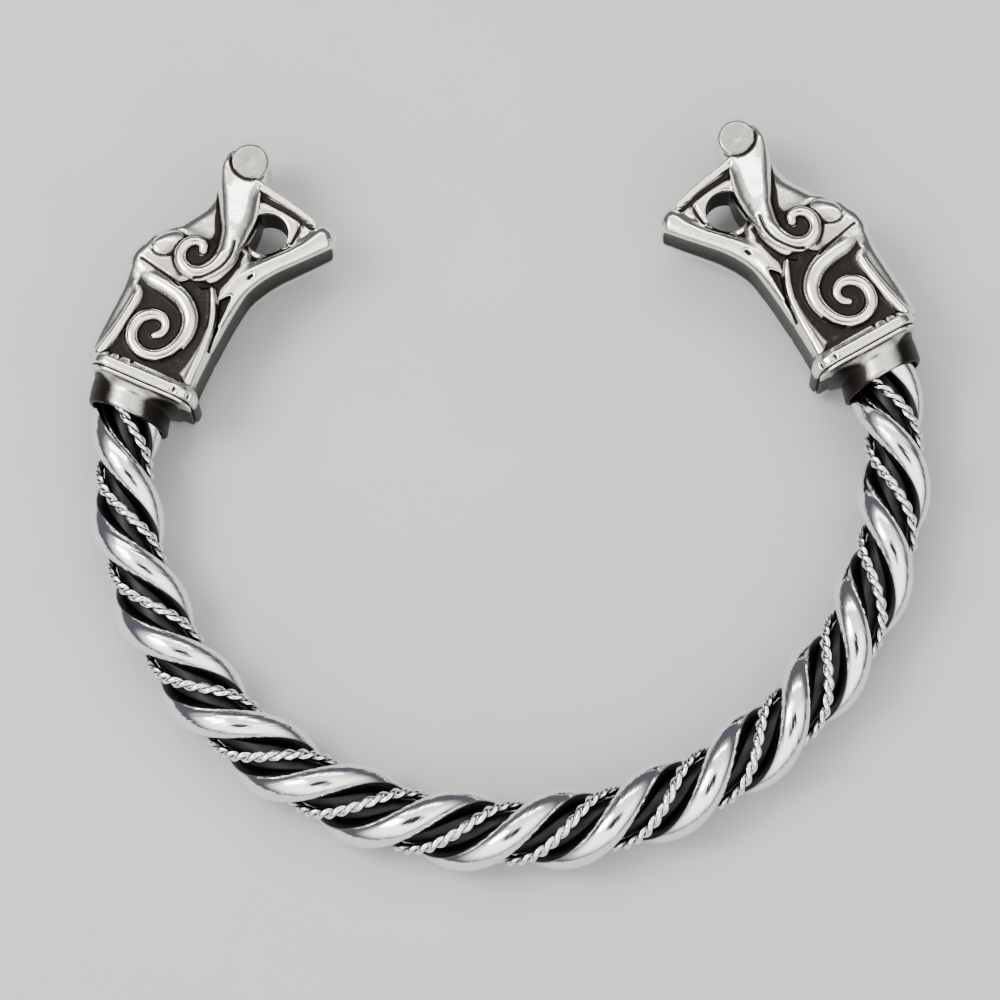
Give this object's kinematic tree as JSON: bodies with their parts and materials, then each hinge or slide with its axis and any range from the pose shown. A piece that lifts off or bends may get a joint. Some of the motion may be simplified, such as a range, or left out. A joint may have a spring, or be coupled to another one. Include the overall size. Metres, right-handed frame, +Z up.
{
  "type": "open twisted metal arm ring with two beast heads",
  "caption": "Open cuff of twisted metal rods that ends in two facing beast heads and grips the wrist by its own spring.",
  "frame": {"origin": "middle of the wrist opening, level with the line through the middle of the body", "axes": "+X across the wrist, +Y towards the gap between the heads, +Z up as the ring lies on its side"},
  "size_m": [0.0782, 0.0701, 0.0105],
  "materials": {
    "polished_steel": "polished stainless steel, blackened in its hollows",
    "bright_wire": "polished fine wire in a blackened groove",
    "blackened_steel": "dark patina, satin"
  },
  "bodies": {
    "root": {"core": "blackened_steel", "thick_rod_a": "polished_steel", "thick_rod_b": "polished_steel", "fine_wire_a": "bright_wire", "fine_wire_b": "bright_wire", "head_left": "polished_steel", "head_right": "polished_steel"}
  },
  "joints": []
}
